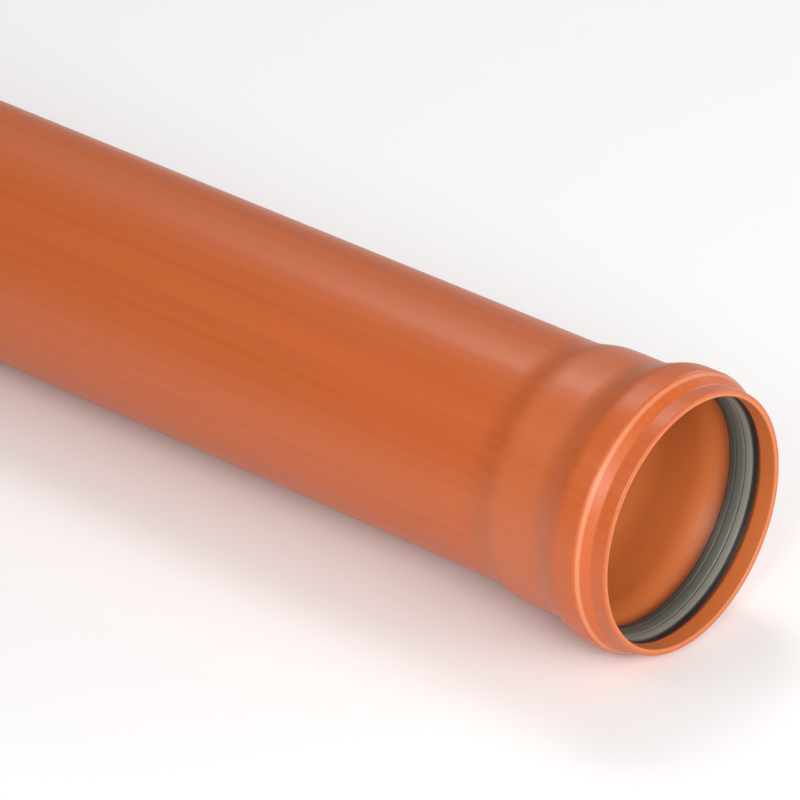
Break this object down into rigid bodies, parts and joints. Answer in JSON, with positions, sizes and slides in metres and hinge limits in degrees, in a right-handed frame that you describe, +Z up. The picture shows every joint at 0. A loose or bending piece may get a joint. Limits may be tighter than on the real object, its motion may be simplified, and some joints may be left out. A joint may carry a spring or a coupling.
{
  "type": "pvc sewer pipe",
  "caption": "Orange-brown plastic sewer pipe with a plain bevelled spigot and a belled socket that holds a rubber sealing ring in its bead.",
  "frame": {"origin": "on the floor under the middle of the pipe's length", "axes": "+X along the pipe towards the socket's mouth, +Z up"},
  "size_m": [1.0668, 0.1263, 0.1265],
  "materials": {
    "pvc_u": "extruded and belled PVC-U, orange-brown, semi-gloss",
    "ring_rubber": "moulded rubber, dark grey, satin"
  },
  "bodies": {
    "root": {"pipe": "pvc_u", "sealing_ring": "ring_rubber"}
  },
  "joints": []
}
